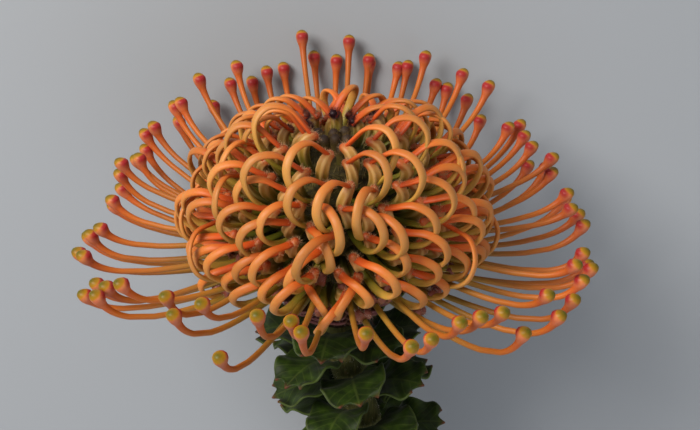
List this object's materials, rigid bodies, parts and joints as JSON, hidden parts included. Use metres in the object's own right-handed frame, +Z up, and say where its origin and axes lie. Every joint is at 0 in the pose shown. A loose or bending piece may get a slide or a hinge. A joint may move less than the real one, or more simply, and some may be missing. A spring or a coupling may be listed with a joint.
{
  "type": "pincushion protea flower",
  "caption": "Cut pincushion flower lying down: a domed head of looped styles ringed by open styles with clubbed tips, a bract collar, and a stem clasped by toothed leaves.",
  "frame": {"origin": "on the surface that the flower lies on, under the middle of its outer box", "axes": "+Z up from the surface; +Y along the lying flower from the cut end of the stem to the head; +X across it, to the right of the pictured front"},
  "size_m": [0.1166, 0.1842, 0.101],
  "materials": {
    "bloom": "waxy orange styles, held in tan floret tubes, with pink and yellow-green clubs",
    "bract": "downy mauve-brown bracts",
    "stem": "downy green-brown woody stem",
    "leaf": "leathery dark green"
  },
  "bodies": {
    "root": {"flower_head": "bloom", "involucre": "bract", "stem": "stem", "leaf_01": "leaf", "leaf_02": "leaf", "leaf_03": "leaf", "leaf_04": "leaf", "leaf_05": "leaf", "leaf_06": "leaf", "leaf_07": "leaf", "leaf_08": "leaf", "leaf_09": "leaf", "leaf_10": "leaf", "leaf_11": "leaf", "leaf_12": "leaf", "leaf_13": "leaf", "leaf_14": "leaf", "leaf_15": "leaf", "leaf_16": "leaf", "leaf_17": "leaf", "leaf_18": "leaf", "leaf_19": "leaf", "leaf_20": "leaf", "leaf_21": "leaf", "leaf_22": "leaf", "leaf_23": "leaf", "leaf_24": "leaf", "leaf_25": "leaf", "leaf_26": "leaf", "leaf_27": "leaf", "leaf_28": "leaf", "leaf_29": "leaf", "leaf_30": "leaf", "leaf_31": "leaf", "leaf_32": "leaf", "leaf_33": "leaf", "leaf_34": "leaf", "leaf_35": "leaf", "leaf_36": "leaf"}
  },
  "joints": []
}
